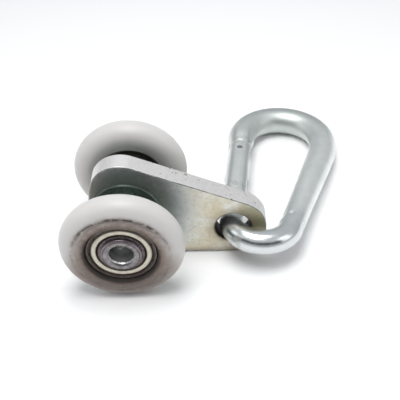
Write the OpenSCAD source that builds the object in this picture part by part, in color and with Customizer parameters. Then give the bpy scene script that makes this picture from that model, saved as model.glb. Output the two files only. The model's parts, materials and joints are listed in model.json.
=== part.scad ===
// Twin-wheel hanging roller with a snap hook.
// Two nylon wheels on shielded ball bearings run on one hollow riveted axle.
// A steel plate hangs from the axle, and a snap hook passes through the hole at its tip.
// Frame: origin at the middle of the axle, +Y along the axle, +Z up, plate tip toward +X.
// The part lies on its wheels, the plate's tip and the far end of the hook.

/* [Wheels] */
// Tread diameter of a wheel
wheel_d = 28; // [26:0.5:30]
// Width of the nylon over its flat faces
wheel_w = 6.8; // [6.2:0.1:7.4]
// Distance between the middles of the two wheels
wheel_gap = 26.9; // [25:0.1:30]

/* [Bearings] */
// Outer diameter of a bearing
bearing_od = 16; // [16:0.1:16.4]
// Width of a bearing
bearing_w = 5; // [4.8:0.1:5.4]
// Balls in a bearing
ball_n = 9; // [7:1:10]
// Diameter of a ball
ball_d = 2; // [1.8:0.05:2]

/* [Axle] */
// Outer diameter of the hollow axle
axle_d = 8; // [7.6:0.1:8]
// Diameter of the hole through the axle
axle_bore_d = 5.3; // [4.5:0.1:5.6]
// Outer diameter of the rolled rivet lips
lip_d = 9.2; // [8.8:0.1:9.6]
// Outer diameter of the spacers
spacer_d = 12.8; // [11.5:0.1:13]
// Outer diameter of the washers against the plate
washer_d = 16.8; // [14:0.2:17]

/* [Plate] */
// Thickness of the plate
plate_t = 4.8; // [4.4:0.1:4.8]
// Distance from the axle to the hook hole
plate_reach = 25.5; // [25.2:0.1:25.8]
// Radius of the plate's round tip, about the hook hole
tip_r = 7.9; // [7.8:0.1:8.1]
// Radius of the two corners at the axle end
corner_r = 7; // [6:0.1:8]
// Diameter of the hook hole
hook_hole_d = 8.2; // [8.2:0.1:8.8]

/* [Snap hook] */
// Wire diameter at the narrow bend
wire_near = 6; // [5.6:0.1:6]
// Wire diameter at the wide bend
wire_far = 7.2; // [6.6:0.1:7.2]
// Centreline radius of the narrow bend
bend_near = 7.1; // [7:0.1:7.4]
// Centreline radius of the wide bend
bend_far = 11.2; // [10:0.1:11.4]
// Distance between the two bends' centres
bend_gap = 35.7; // [34:0.1:36]
// Diameter of the gate
gate_d = 6.2; // [6:0.1:6.4]

/* [Hidden] */

$fn = 72;
eps = 0.01;

// Wheel and bearing sections, measured from the wheel's own middle
wheel_half = wheel_w / 2;
bearing_half = bearing_w / 2;
bearing_r = bearing_od / 2;
bore_mouth_r = bearing_r + 0.4;
ring_chamfer = 0.25;
inner_land_r = 5.4;
outer_land_r = 6.8;
pitch_r = (inner_land_r + outer_land_r) / 2;
groove_clear = 0.04;
groove_r = ball_d / 2 + groove_clear;
seat_r = 7.4;
seat_depth = 0.7;
shield_bore_r = 5.6;
shield_step_r = 6.65;
shield_rim_r = 7.05;
shield_t = 0.25;
shield_face = bearing_half - 0.12;
shield_low = bearing_half - 0.45;
shield_notch_w = 0.5;
cage_in_r = 5.7;
cage_out_r = 6.5;
cage_half = 1.5;
pocket_clear = 0.06;

// Stations along the axle
wheel_y = wheel_gap / 2;
ring_in_y = wheel_y - bearing_half;
ring_out_y = wheel_y + bearing_half;
lip_h = 0.8;
lip_round = 0.45;
mouth_flare = 0.55;
washer_t = 0.6;
washer_chamfer = 0.35;
spacer_nose_d = 10.4;
spacer_nose_l = 1.05;

// Plate outline: two corners at the axle end and the round tip
corner_x = -2;
corner_z = 6;
plate_droop = asin((wheel_d / 2 - tip_r) / plate_reach);
hole_x = plate_reach * cos(plate_droop);
hole_z = -plate_reach * sin(plate_droop);
hole_edge = 0.4;

// Hook frame: x across the hook from gate to back, y from the narrow bend to the wide bend
hook_foot = [hole_x - 0.1, 0.88, hole_z - 0.76];
hook_turn = [-3.4, 2.8, -6.2];
back_drop = 3;
back_rise = bend_gap - back_drop;
back_lean = 2 * atan((bend_far - bend_near) / back_rise);
die_swell = 0.1;
nose_end = 31;
nose_d = 6.4;
latch_y = 27.3;
latch_pin_d = 1.6;
latch_clear = 0.2;
nose_tongue_t = 2;
nose_tongue_end = latch_y - 2.1;
nose_slot_t = 2.4;
nose_slot_y = nose_tongue_end - 0.8;
hinge_y = 11;
hinge_pin_d = 1.8;
hinge_clear = 0.05;
hinge_tongue_t = 2.2;
hinge_tongue_r = 2.6;
hinge_flat = 2.1;
leg_end = 7.4;
gate_near_r = 3.2;
gate_end = 30.6;
gate_slot_t = 2.5;
gate_slot_end = 15.6;
gate_edge = 0.3;
pin_len = gate_d - 0.2;
spring_bore_d = 2.4;
spring_bore_end = 22.8;
plunger_d = 2.2;
plunger_gap = 0.1;
plunger_start = hinge_y + hinge_flat + plunger_gap;
plunger_end = 17.6;
spring_wire_d = 0.36;
spring_coil_r = 0.95;
spring_turns = 9;
spring_sides = 8;
spring_steps = 14;

// ---------- helpers ----------

// Turns a shape made about the Z axis so that it lies along the Y axis
module along_y() {
    rotate([-90, 0, 0]) children();
}

// Turns and places a shape made in the hook's own frame
module in_hook_frame() {
    translate(hook_foot) rotate(hook_turn) children();
}

// Round bar along Y between two stations, with a diameter at each end
module bar_y(y1, y2, d1, d2) {
    translate([0, y1, 0]) along_y() cylinder(h = y2 - y1, d1 = d1, d2 = d2);
}

// Part of a ring of round wire about the Z axis
module wire_bend(bend_r, wire_d, from, sweep) {
    rotate_extrude(angle = sweep, start = from) translate([bend_r, 0]) circle(d = wire_d);
}

// Points of an arc, ends included
function arc_points(centre, r, from, to, steps) = [
    for (i = [0:steps]) centre + r * [cos(from + (to - from) * i / steps), sin(from + (to - from) * i / steps)]
];

// Side +1 gives the front piece at -Y, side -1 mirrors it to the rear
module to_side(side) {
    mirror([0, side < 0 ? 1 : 0, 0]) children();
}

// ---------- plate ----------

// Outline of the plate before it droops
module plate_outline() {
    span = [plate_reach - corner_x, -corner_z];
    lean = atan2(span[1], span[0]) + acos((corner_r - tip_r) / norm(span));
    polygon(concat(
        arc_points([plate_reach, 0], tip_r, -lean, lean, 48),
        arc_points([corner_x, corner_z], corner_r, lean, 180, 24),
        arc_points([corner_x, -corner_z], corner_r, 180, 360 - lean, 24)
    ));
}

// Steel plate with a bore for the axle and a hole for the hook
module hanger_plate() {
    color("silver")
    difference() {
        rotate([90, plate_droop, 0]) linear_extrude(plate_t, center = true) plate_outline();
        along_y() cylinder(h = plate_t + 2, d = axle_d, center = true);
        translate([hole_x, 0, hole_z]) along_y() hook_hole();
    }
}

// Hook hole with a bevel at each face
module hook_hole() {
    r = hook_hole_d / 2;
    half = plate_t / 2;
    rotate_extrude() polygon([
        [0, -half - 1], [r + hole_edge, -half - 1], [r + hole_edge, -half],
        [r, -half + hole_edge], [r, half - hole_edge],
        [r + hole_edge, half], [r + hole_edge, half + 1], [0, half + 1]
    ]);
}

// ---------- axle ----------

// Half section of a rolled lip, from the bearing's face outward
function lip_section() = concat(
    [[axle_d / 2, 0], [lip_d / 2, 0]],
    arc_points([lip_d / 2 - lip_round, lip_h - lip_round], lip_round, 0, 90, 6),
    [[axle_bore_d / 2 + mouth_flare, lip_h]]
);

// Hollow axle, riveted over both inner rings
module axle_tube() {
    bore_r = axle_bore_d / 2;
    top = [for (p = lip_section()) [p[0], p[1] + ring_out_y]];
    bottom = [for (i = [len(top) - 1:-1:0]) [top[i][0], -top[i][1]]];
    color("darkgray")
    along_y() rotate_extrude() polygon(concat(
        top,
        [[bore_r, ring_out_y + lip_h - mouth_flare], [bore_r, -ring_out_y - lip_h + mouth_flare]],
        bottom
    ));
}

// Thin washer between the plate and a spacer
module washer(side) {
    r = washer_d / 2;
    color("darkseagreen")
    to_side(side)
    translate([0, -plate_t / 2, 0]) rotate([90, 0, 0])
    rotate_extrude() polygon([
        [axle_d / 2, 0], [r, 0], [r, washer_t - washer_chamfer],
        [r - washer_chamfer, washer_t], [axle_d / 2, washer_t]
    ]);
}

// Spacer tube with a narrow nose that bears on the inner ring only
module spacer(side) {
    start = plate_t / 2 + washer_t;
    color("slategray")
    to_side(side)
    rotate([90, 0, 0])
    rotate_extrude() polygon([
        [axle_d / 2, start], [spacer_d / 2, start], [spacer_d / 2, ring_in_y - spacer_nose_l],
        [spacer_nose_d / 2, ring_in_y - spacer_nose_l], [spacer_nose_d / 2, ring_in_y],
        [axle_d / 2, ring_in_y]
    ]);
}

// ---------- bearings ----------

// Places a bearing piece made about Z, with +Z pointing out of the wheel pair
module at_wheel(side) {
    to_side(side) translate([0, -wheel_y, 0]) rotate([90, 0, 0]) children();
}

// Inner ring with a ball groove
module inner_ring(side) {
    color("gray")
    at_wheel(side)
    difference() {
        rotate_extrude() polygon([
            [axle_d / 2, -bearing_half], [inner_land_r - ring_chamfer, -bearing_half],
            [inner_land_r, -bearing_half + ring_chamfer], [inner_land_r, bearing_half - ring_chamfer],
            [inner_land_r - ring_chamfer, bearing_half], [axle_d / 2, bearing_half]
        ]);
        rotate_extrude() translate([pitch_r, 0]) circle(r = groove_r);
    }
}

// Outer ring with a ball groove and a seat for a shield at each face
module outer_ring(side) {
    seat_z = bearing_half - seat_depth;
    color("dimgray")
    at_wheel(side)
    difference() {
        rotate_extrude() polygon([
            [outer_land_r, -seat_z], [seat_r, -seat_z], [seat_r, -bearing_half],
            [bearing_r - ring_chamfer, -bearing_half], [bearing_r, -bearing_half + ring_chamfer],
            [bearing_r, bearing_half - ring_chamfer], [bearing_r - ring_chamfer, bearing_half],
            [seat_r, bearing_half], [seat_r, seat_z], [outer_land_r, seat_z]
        ]);
        rotate_extrude() translate([pitch_r, 0]) circle(r = groove_r);
    }
}

// Stepped shield with notches in its crimped rim; face +1 is the outer side of the wheel
module shield(side, face) {
    color("wheat")
    at_wheel(side)
    mirror([0, 0, face < 0 ? 1 : 0])
    difference() {
        rotate_extrude() polygon([
            [shield_bore_r, shield_face - shield_t], [shield_step_r - shield_t, shield_face - shield_t],
            [shield_step_r - shield_t, shield_low - shield_t], [seat_r, shield_low - shield_t],
            [seat_r, shield_face], [shield_rim_r, shield_face], [shield_rim_r, shield_low],
            [shield_step_r, shield_low], [shield_step_r, shield_face], [shield_bore_r, shield_face]
        ]);
        for (i = [0:ball_n - 1]) {
            rotate([0, 0, (i + 0.5) * 360 / ball_n])
            translate([shield_rim_r - 0.1, -shield_notch_w / 2, shield_low])
            cube([1, shield_notch_w, 1]);
        }
    }
}

// All balls of one bearing, each a separate sphere
module balls(side) {
    color("lightsteelblue")
    at_wheel(side)
    for (i = [0:ball_n - 1]) {
        rotate([0, 0, i * 360 / ball_n]) translate([pitch_r, 0, 0]) sphere(d = ball_d, $fn = 32);
    }
}

// Cage ring with a round pocket for each ball
module cage(side) {
    color("peru")
    at_wheel(side)
    difference() {
        translate([0, 0, -cage_half]) difference() {
            cylinder(h = 2 * cage_half, r = cage_out_r);
            translate([0, 0, -1]) cylinder(h = 2 * cage_half + 2, r = cage_in_r);
        }
        for (i = [0:ball_n - 1]) {
            rotate([0, 0, i * 360 / ball_n])
            translate([cage_in_r - 1, 0, 0])
            rotate([0, 90, 0])
            cylinder(h = 3, r = ball_d / 2 + pocket_clear);
        }
    }
}

// ---------- wheels ----------

// Nylon wheel body with a full-round tread and a bevelled mouth at each face
module tyre(side) {
    crown_r = wheel_half;
    crown_centre = wheel_d / 2 - crown_r;
    color("whitesmoke")
    at_wheel(side)
    rotate_extrude() polygon(concat(
        [[bearing_r, -bearing_half], [bore_mouth_r, -wheel_half]],
        arc_points([crown_centre, 0], crown_r, -90, 90, 40),
        [[bore_mouth_r, wheel_half], [bearing_r, bearing_half]]
    ));
}

// ---------- snap hook ----------

// Straight back of the hook, widening from the narrow bend to the wide one,
// with the slight swelling that the forming die leaves at each end
module hook_back() {
    length = back_length();
    translate([bend_near, 0, 0])
    rotate([0, 0, -back_lean])
    translate([bend_near, 0, 0]) {
        bar_y(0, length, wire_near, wire_far);
        sphere(d = wire_near + die_swell);
        translate([0, length, 0]) sphere(d = wire_far + die_swell);
    }
}

// Length of the straight back between its two tangent points
function back_length() = norm([bend_far - bend_near, back_rise]) * cos(back_slant());

// Angle between the back and the line through the two bends' centres
function back_slant() = asin((bend_far - bend_near) / norm([bend_far - bend_near, back_rise]));

// Flat tongue of the nose, with a hooked end that catches the latch pin
module nose_tongue() {
    catch_r = latch_pin_d / 2 + latch_clear;
    translate([0, 0, -nose_tongue_t / 2])
    linear_extrude(nose_tongue_t)
    difference() {
        translate([-2.4, nose_tongue_end]) square([3.4, nose_end - nose_tongue_end + eps]);
        translate([0, latch_y]) circle(r = catch_r);
        translate([0, latch_y - catch_r]) square([3, 2 * catch_r]);
    }
}

// Flat tongue that the gate is hinged on, with a flat end for the spring plunger
module hinge_tongue() {
    translate([0, 0, -hinge_tongue_t / 2])
    difference() {
        intersection() {
            union() {
                translate([0, hinge_y, 0]) cylinder(h = hinge_tongue_t, r = hinge_tongue_r);
                translate([-hinge_tongue_r, leg_end - eps, 0])
                cube([2 * hinge_tongue_r, hinge_y - leg_end + eps, hinge_tongue_t]);
            }
            translate([-5, 0, -1]) cube([10, hinge_y + hinge_flat, hinge_tongue_t + 2]);
        }
        translate([0, hinge_y, -1]) cylinder(h = hinge_tongue_t + 2, d = hinge_pin_d + 2 * hinge_clear);
    }
}

// Bent body of the hook, from the hinge leg round to the nose
module hook_body() {
    color("lightgray")
    in_hook_frame() {
        bar_y(0, leg_end, wire_near, wire_near);
        hinge_tongue();
        translate([bend_near, 0, 0]) wire_bend(bend_near, wire_near, 180, 180 - back_lean);
        hook_back();
        translate([bend_far, back_rise, 0]) wire_bend(bend_far, wire_far, -back_lean, back_lean);
        translate([2 * bend_far, 0, 0]) bar_y(back_rise, bend_gap, wire_far, wire_far);
        translate([bend_far, bend_gap, 0]) wire_bend(bend_far, wire_far, 0, 180);
        bar_y(nose_end, bend_gap, nose_d, wire_far);
        nose_tongue();
    }
}

// Gate: a round bar slotted at both ends, with a blind bore for the spring
module gate() {
    r = gate_d / 2;
    color("gainsboro")
    in_hook_frame()
    difference() {
        intersection() {
            union() {
                bar_y(hinge_y - gate_near_r - 1, gate_end - gate_edge, gate_d, gate_d);
                bar_y(gate_end - gate_edge, gate_end, gate_d, gate_d - 2 * gate_edge);
            }
            union() {
                translate([0, hinge_y, -r - 1]) cylinder(h = gate_d + 2, r = gate_near_r);
                translate([-r - 1, hinge_y, -r - 1]) cube([gate_d + 2, gate_end, gate_d + 2]);
            }
        }
        translate([-r - 1, 0, -gate_slot_t / 2]) cube([gate_d + 2, gate_slot_end, gate_slot_t]);
        translate([-r - 1, nose_slot_y, -nose_slot_t / 2]) cube([gate_d + 2, gate_end, nose_slot_t]);
        bar_y(gate_slot_end - 1, spring_bore_end, spring_bore_d, spring_bore_d);
        translate([0, hinge_y, 0]) cylinder(h = gate_d + 2, d = hinge_pin_d, center = true);
        translate([0, latch_y, 0]) cylinder(h = gate_d + 2, d = latch_pin_d, center = true);
    }
}

// Rivet that the gate turns on, pressed into the gate
module hinge_pin() {
    color("darkgray")
    in_hook_frame()
    translate([0, hinge_y, 0]) cylinder(h = pin_len, d = hinge_pin_d, center = true);
}

// Cross pin at the gate's free end, caught by the nose
module latch_pin() {
    color("darkgray")
    in_hook_frame()
    translate([0, latch_y, 0]) cylinder(h = pin_len, d = latch_pin_d, center = true);
}

// Plunger that presses on the flat end of the hinge tongue
module spring_plunger() {
    color("goldenrod")
    in_hook_frame()
    bar_y(plunger_start, plunger_end, plunger_d, plunger_d);
}

// Point on the spring's coil, and the ring of its wire section there
function coil_dir(a) = [cos(a), 0, sin(a)];
function coil_ring(k, pitch) = [
    for (j = [0:spring_sides - 1])
        let (a = k * 360 / spring_steps, b = j * 360 / spring_sides)
        (spring_coil_r + spring_wire_d / 2 * cos(b)) * coil_dir(a)
        + [0, plunger_end + spring_wire_d / 2 + 0.02 + pitch * k / spring_steps + spring_wire_d / 2 * sin(b), 0]
];

// Helical compression spring inside the gate
module gate_spring() {
    rings = spring_turns * spring_steps;
    room = spring_bore_end - plunger_end - spring_wire_d - 0.04;
    pitch = room / spring_turns;
    n = spring_sides;
    points = [for (k = [0:rings]) each coil_ring(k, pitch)];
    sides = [
        for (k = [0:rings - 1], j = [0:n - 1])
            [k * n + j, (k + 1) * n + j, (k + 1) * n + (j + 1) % n, k * n + (j + 1) % n]
    ];
    first = [for (j = [0:n - 1]) j];
    last = [for (j = [n - 1:-1:0]) rings * n + j];
    color("dimgray")
    in_hook_frame()
    polyhedron(points = points, faces = concat(sides, [first, last]), convexity = 10);
}

// ---------- nodes ----------

hanger_plate();
axle_tube();
washer(1);  // washer_front
washer(-1);  // washer_rear
spacer(1);  // spacer_front
spacer(-1);  // spacer_rear
inner_ring(1);  // inner_ring_front
inner_ring(-1);  // inner_ring_rear
tyre(1);  // tyre_front
outer_ring(1);  // outer_ring_front
shield(1, 1);  // shield_front_outer
shield(1, -1);  // shield_front_inner
tyre(-1);  // tyre_rear
outer_ring(-1);  // outer_ring_rear
shield(-1, 1);  // shield_rear_outer
shield(-1, -1);  // shield_rear_inner
balls(1);  // balls_front
cage(1);  // cage_front
balls(-1);  // balls_rear
cage(-1);  // cage_rear
hook_body();
gate();
hinge_pin();
latch_pin();
spring_plunger();
gate_spring();
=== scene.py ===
"""Looks of the hanging door roller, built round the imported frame. Lengths are in metres."""
import json
import math

import bmesh
import bpy
from mathutils import Matrix, Vector


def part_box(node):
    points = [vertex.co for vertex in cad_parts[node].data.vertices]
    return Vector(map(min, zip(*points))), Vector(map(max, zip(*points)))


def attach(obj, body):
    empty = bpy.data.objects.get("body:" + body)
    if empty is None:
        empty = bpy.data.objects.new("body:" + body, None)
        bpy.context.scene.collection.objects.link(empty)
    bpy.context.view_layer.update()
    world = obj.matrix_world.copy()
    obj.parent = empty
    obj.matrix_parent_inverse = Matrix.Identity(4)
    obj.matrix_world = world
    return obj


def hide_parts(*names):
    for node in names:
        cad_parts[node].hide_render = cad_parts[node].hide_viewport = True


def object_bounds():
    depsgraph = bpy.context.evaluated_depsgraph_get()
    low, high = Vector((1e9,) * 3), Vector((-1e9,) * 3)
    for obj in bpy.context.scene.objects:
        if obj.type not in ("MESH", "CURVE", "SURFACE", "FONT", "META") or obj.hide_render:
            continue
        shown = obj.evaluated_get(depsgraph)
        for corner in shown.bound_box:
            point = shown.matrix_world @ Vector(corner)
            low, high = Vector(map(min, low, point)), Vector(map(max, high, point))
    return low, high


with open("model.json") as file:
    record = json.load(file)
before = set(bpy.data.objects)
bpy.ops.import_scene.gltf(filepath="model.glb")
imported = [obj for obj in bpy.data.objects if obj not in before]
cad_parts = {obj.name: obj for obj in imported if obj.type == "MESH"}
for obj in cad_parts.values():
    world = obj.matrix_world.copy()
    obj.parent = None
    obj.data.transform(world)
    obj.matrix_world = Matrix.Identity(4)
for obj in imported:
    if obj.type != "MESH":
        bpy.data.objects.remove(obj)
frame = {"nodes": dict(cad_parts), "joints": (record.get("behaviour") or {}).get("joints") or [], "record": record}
cad_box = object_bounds()

MM = 0.001
NODES = frame["nodes"]
JOINTS = {joint["name"]: joint for joint in frame["joints"]}


# ---------- sizes ----------

def half_size(node, axis):
    """Half the width of a CAD node's box along one axis."""
    low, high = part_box(node)
    return (high[axis] - low[axis]) / 2


def middle(node):
    """Middle of a CAD node's box."""
    low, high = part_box(node)
    return (low + high) / 2


# Read from the frame: radii, half widths, and the places and directions of the hook's joints
WHEEL_R = half_size("tyre_front", 2)
WHEEL_Y = abs(middle("tyre_front").y)
WHEEL_HALF = half_size("tyre_front", 1)
BEARING_R = half_size("outer_ring_front", 2)
BEARING_HALF = half_size("outer_ring_front", 1)
INNER_R = half_size("inner_ring_front", 2)
LIP_R = half_size("axle_tube", 2)
WASHER_R = half_size("washer_front", 2)
AXLE_HALF = half_size("axle_tube", 1)
HOOK_AXIS = Vector(JOINTS["hook_turn"]["axis"])
HOOK_HINGE = Vector(JOINTS["gate_open"]["pos_m"])
HOOK_ALONG = Vector(JOINTS["plunger_slide"]["axis"])
HOOK_ACROSS = HOOK_ALONG.cross(HOOK_AXIS)

# Tyre: width of the bevel at each mouth, and how finely it is turned
MOUTH_BEVEL = 0.4 * MM
TYRE_SIDES = 256
TYRE_STEPS = 96

# Plate: radius of its round tip, which is centred on the hook hole, and of that hole
TIP_R = 7.9 * MM
HOOK_HOLE_R = 4.1 * MM
PLATE_LOW, PLATE_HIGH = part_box("hanger_plate")
HOOK_HOLE = Vector((PLATE_HIGH.x - TIP_R, 0, PLATE_LOW.z + TIP_R))

# Axle: outer and bore radius, where the bore begins, and height and roundings of its rolled lips
AXLE_R = 4.0 * MM
AXLE_BORE_R = 2.65 * MM
BORE_START_Y = WHEEL_Y + 2.75 * MM
LIP_H = 0.8 * MM
LIP_CREST = 0.30 * MM
LIP_INSIDE = 0.85 * MM
LIP_SHOULDER_H = 0.35 * MM
LIP_SHOULDER_DROP = 0.05 * MM
LIP_STEPS = 10

# Shields: radii of their hole, pressed step, groove and crimp; and where a ring's outer land begins
SHIELD_HOLE_R = 5.62 * MM
SHIELD_STEP_R = 6.55 * MM
SHIELD_GROOVE_R = 6.75 * MM
SHIELD_CRIMP_R = 7.22 * MM
OUTER_LAND_R = 7.0 * MM

# Hook: centreline radii of its bends, stations along its length, and wire radii
BEND_NEAR = 7.1 * MM
BEND_FAR = 11.2 * MM
BEND_GAP = 35.7 * MM
FAR_STRAIGHT = 3 * MM
BACK_RISE = BEND_GAP - FAR_STRAIGHT
BACK_LEAN = 2 * math.atan((BEND_FAR - BEND_NEAR) / BACK_RISE)
WIRE_NEAR_R = 3.0 * MM
WIRE_FAR_R = 3.6 * MM
NOSE_R = 3.12 * MM
LEG_END = 7.4 * MM
NOSE_END = 31 * MM
# Middle of the gate's line, level with the near bend's centre: the start of the hook's own frame
HOOK_FOOT = Vector(JOINTS["hook_turn"]["pos_m"]) - BEND_NEAR * HOOK_ACROSS

# Hook mesh: spacing and sides of the wire's rings, rounding of its ends, and the cut round the tongues
WIRE_STEP = 0.4 * MM
WIRE_SIDES = 48
WIRE_END_ROUND = 0.1 * MM
WIRE_END_DROP = 0.05 * MM
TONGUE_MARGIN = 0.02 * MM
TONGUE_SIDE = 6 * MM

# Gate: its radius, rounded hinge end, length, slots and spring bore, by stations along the hook
GATE_R = 3.1 * MM
GATE_HINGE = 11 * MM
GATE_HINGE_R = 3.2 * MM
GATE_END = 30.6 * MM
GATE_EDGE = 0.3 * MM
GATE_EDGE_STEPS = 6
GATE_HINGE_STEPS = 32
HINGE_SLOT = (2.5 * MM, 15.6 * MM)
NOSE_SLOT = (2.4 * MM, 24.4 * MM)
LATCH = 27.3 * MM
PIN_HOLES = ((GATE_HINGE, 0.9 * MM), (LATCH, 0.8 * MM))
PIN_HOLE_SIDES = 40
SPRING_BORE_R = 1.2 * MM
SPRING_BORE_END = 22.8 * MM
SPRING_BORE_SIDES = 48

# Meshes: sides of round shapes, distance at which vertices become one, flat and sharp angles
ROUND_SIDES = 96
WELD = 0.001 * MM
FLAT = math.radians(0.2)
SHARP = math.radians(32)
# Rounded edges: steps across one, its width on the plate, and on the pieces that come in pairs
BEVEL_STEPS = 3
PLATE_EDGE = 0.32 * MM
PAIR_EDGES = {
    "spacer": 0.12 * MM,
    "washer": 0.06 * MM,
    "inner_ring": 0.08 * MM,
    "outer_ring": 0.06 * MM,
}


# ---------- camera and lights ----------

# Lens and sensor in millimetres, nearest distance drawn, camera place, height angle, turn and roll
LENS = 64.14
SENSOR = 36
NEAREST = 5 * MM
CAMERA_PLACE = Vector((22.0, -124.7, 110.9)) * MM
CAMERA_HEIGHT = math.radians(41.42)
CAMERA_TURN = math.radians(2.19)
CAMERA_ROLL = math.radians(-3.34)
# Floor: its width and how far it lies below the part
FLOOR_SIZE = 3.0
FLOOR_GAP = 0.02 * MM
FLOOR_COLOR = (0.97, 0.97, 0.97)
# Soft panels: name, place, point aimed at, size, power in watts
PANELS = (
    ("overhead", (0.00, -0.02, 0.30), (0.015, 0.01, 0), (0.14, 0.20), 0.68),
    ("left", (-0.28, -0.05, 0.16), (0, 0, 0), (0.18, 0.22), 0.12),
    ("right", (0.30, -0.10, 0.18), (0.03, 0.02, 0), (0.16, 0.22), 0.12),
)
# Surround: colour, brightness overhead and at the horizon, and the height where the first is reached
SKY_COLOR = (0.94, 0.97, 1.0, 1)
SKY_TOP = 0.58
SKY_RIM = 0.45
SKY_HEIGHT = 0.75
# Dim band in the surround, behind the camera, with directions as on a ball of radius 1: lowest and
# highest height, softness, the Y where it is full and where it ends, and the light left in it
BAND_LOW = 0.33
BAND_HIGH = 0.58
BAND_SOFT = 0.09
BAND_FRONT = -0.55
BAND_SIDE = -0.20
BAND_DIM = 0.02


# ---------- node graph helper ----------

class Graph:
    """A material's node tree, with one short call for each kind of node."""

    def __init__(self, name):
        self.material = bpy.data.materials.new(name)
        self.material.use_nodes = True
        self.tree = self.material.node_tree
        self.tree.nodes.clear()
        output = self.add("ShaderNodeOutputMaterial")
        self.shader = self.add("ShaderNodeBsdfPrincipled")
        self.tree.links.new(self.shader.outputs["BSDF"], output.inputs["Surface"])
        self.coords = self.add("ShaderNodeTexCoord")
        self.place = self.coords.outputs["Object"]

    def add(self, kind):
        return self.tree.nodes.new(kind)

    def put(self, socket, value):
        """Links value to a socket if it is an output, and stores it otherwise."""
        if isinstance(value, bpy.types.NodeSocket):
            self.tree.links.new(value, socket)
        elif isinstance(value, tuple) and len(value) == 3 and len(socket.default_value) == 4:
            socket.default_value = (*value, 1)
        else:
            socket.default_value = value

    def math(self, operation, a, b=0.0, clamp=False):
        node = self.add("ShaderNodeMath")
        node.operation = operation
        node.use_clamp = clamp
        self.put(node.inputs[0], a)
        self.put(node.inputs[1], b)
        return node.outputs[0]

    def times(self, a, b):
        return self.math("MULTIPLY", a, b)

    def plus(self, a, b):
        return self.math("ADD", a, b)

    def minus(self, a, b):
        return self.math("SUBTRACT", a, b)

    def hypotenuse(self, a, b):
        return self.math("SQRT", self.plus(self.times(a, a), self.times(b, b)))

    def flip(self, a):
        """1 where a is 0, and 0 where it is 1."""
        return self.math("SUBTRACT", 1.0, a, clamp=True)

    def step(self, value, low, high):
        """0 below low and 1 above high, smooth between; low may be the greater."""
        node = self.add("ShaderNodeMapRange")
        node.interpolation_type = "SMOOTHSTEP"
        rising = low < high
        self.put(node.inputs["Value"], value)
        self.put(node.inputs["From Min"], low if rising else high)
        self.put(node.inputs["From Max"], high if rising else low)
        self.put(node.inputs["To Min"], 0.0 if rising else 1.0)
        self.put(node.inputs["To Max"], 1.0 if rising else 0.0)
        return node.outputs["Result"]

    def band(self, value, centre, half):
        """1 at centre, falling smoothly to 0 at half on either side."""
        away = self.math("ABSOLUTE", self.minus(value, centre))
        return self.step(away, half, 0.0)

    def split(self, vector):
        node = self.add("ShaderNodeSeparateXYZ")
        self.put(node.inputs[0], vector)
        return node.outputs

    def along(self, direction, origin):
        """Distance along a fixed direction from a point, in the object's own space."""
        offset = self.add("ShaderNodeVectorMath")
        offset.operation = "SUBTRACT"
        self.put(offset.inputs[0], self.place)
        offset.inputs[1].default_value = origin
        node = self.add("ShaderNodeVectorMath")
        node.operation = "DOT_PRODUCT"
        self.put(node.inputs[0], offset.outputs[0])
        node.inputs[1].default_value = direction
        return node.outputs["Value"]

    def from_axle(self):
        """Distance from the axle's axis."""
        x, _, z = self.split(self.place)
        return self.hypotenuse(x, z)

    def distance_from_line(self, point):
        """Distance from the line through point that runs along Y."""
        x, _, z = self.split(self.place)
        return self.hypotenuse(self.minus(x, point.x), self.minus(z, point.z))

    def combine(self, x, y, z):
        node = self.add("ShaderNodeCombineXYZ")
        for socket, value in zip(node.inputs, (x, y, z)):
            self.put(socket, value)
        return node.outputs[0]

    def noise(self, size, detail=4.0, rough=0.55, vector=None):
        """Noise whose features are about size metres across."""
        node = self.add("ShaderNodeTexNoise")
        self.put(node.inputs["Vector"], vector or self.place)
        self.put(node.inputs["Scale"], 1.0 / size)
        self.put(node.inputs["Detail"], detail)
        self.put(node.inputs["Roughness"], rough)
        return node.outputs["Fac"]

    def specks(self, spacing, radius):
        """Small round dots about spacing apart: 1 inside a dot."""
        node = self.add("ShaderNodeTexVoronoi")
        self.put(node.inputs["Vector"], self.place)
        self.put(node.inputs["Scale"], 1.0 / spacing)
        return self.step(node.outputs["Distance"], radius, radius * 0.4)

    def mix(self, factor, a, b):
        node = self.add("ShaderNodeMix")
        node.data_type = "RGBA"
        self.put(node.inputs["Factor"], factor)
        self.put(node.inputs["A"], a)
        self.put(node.inputs["B"], b)
        return node.outputs["Result"]

    def layered(self, color, coats):
        """Lays coats over a colour in turn, each given as (mask, strength, colour)."""
        for mask, strength, coat in coats:
            color = self.mix(self.times(mask, strength), color, coat)
        return color

    def scratches(self, size, stretch):
        """Fine lines: noise squeezed in one direction."""
        node = self.add("ShaderNodeMapping")
        self.put(node.inputs["Vector"], self.place)
        node.inputs["Scale"].default_value = stretch
        return self.noise(size, 6.0, 0.6, node.outputs[0])

    def bump(self, height, depth):
        node = self.add("ShaderNodeBump")
        self.put(node.inputs["Height"], height)
        node.inputs["Distance"].default_value = depth
        node.inputs["Strength"].default_value = 1.0
        return node.outputs["Normal"]

    def finish(self, color, roughness, normal=None, metallic=0.0):
        self.put(self.shader.inputs["Base Color"], color)
        self.put(self.shader.inputs["Roughness"], roughness)
        self.shader.inputs["Metallic"].default_value = metallic
        if normal is not None:
            self.put(self.shader.inputs["Normal"], normal)
        return self.material


# ---------- materials ----------

# How far light enters the nylon, and how it leaves its surface
NYLON_LIGHT = {
    "Subsurface Weight": 0.85,
    "Subsurface Radius": (1.0, 0.90, 0.82),
    "Subsurface Scale": 5 * MM,
    "IOR": 1.53,
    "Specular IOR Level": 0.38,
}
PACKED_GREASE = (0.022, 0.016, 0.012)


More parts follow.
